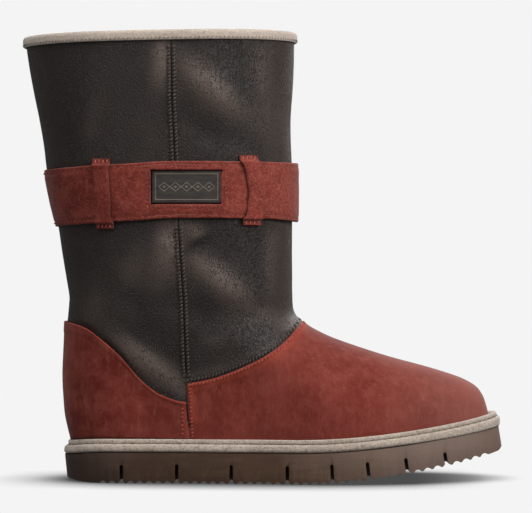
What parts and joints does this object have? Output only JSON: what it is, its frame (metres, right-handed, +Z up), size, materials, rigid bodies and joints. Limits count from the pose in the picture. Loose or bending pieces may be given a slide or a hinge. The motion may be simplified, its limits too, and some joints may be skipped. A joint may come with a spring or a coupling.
{
  "type": "mukluk boot",
  "caption": "Pull-on boot with a tall flared shaft, felt collar and welt, a strap held by keepers, a heel counter and a slotted wedge sole with toe spring; open inside from the collar to the toe.",
  "frame": {"origin": "on the floor under the middle of the heel, on a tip of the tread", "axes": "+X towards the toe, -Y towards the outer side of the foot, +Z up"},
  "size_m": [0.3061, 0.1132, 0.2845],
  "materials": {
    "shaft_leather": "dark brown waxed leather with fine grain, felt lining inside",
    "red_nubuck": "matte red nubuck",
    "red_suede": "matte red suede",
    "beige_felt": "pressed wool felt",
    "brown_rubber": "matte moulded rubber",
    "dark_plate": "dark pressed leather patch"
  },
  "bodies": {
    "root": {"shaft": "shaft_leather", "vamp": "red_nubuck", "heel_counter": "red_nubuck", "collar_binding": "beige_felt", "welt": "beige_felt", "insole": "beige_felt", "outsole": "brown_rubber", "strap": "red_suede", "label": "dark_plate", "keeper_rear_outer": "red_suede", "keeper_rear_inner": "red_suede", "keeper_front_outer": "red_suede", "keeper_front_inner": "red_suede"}
  },
  "joints": []
}
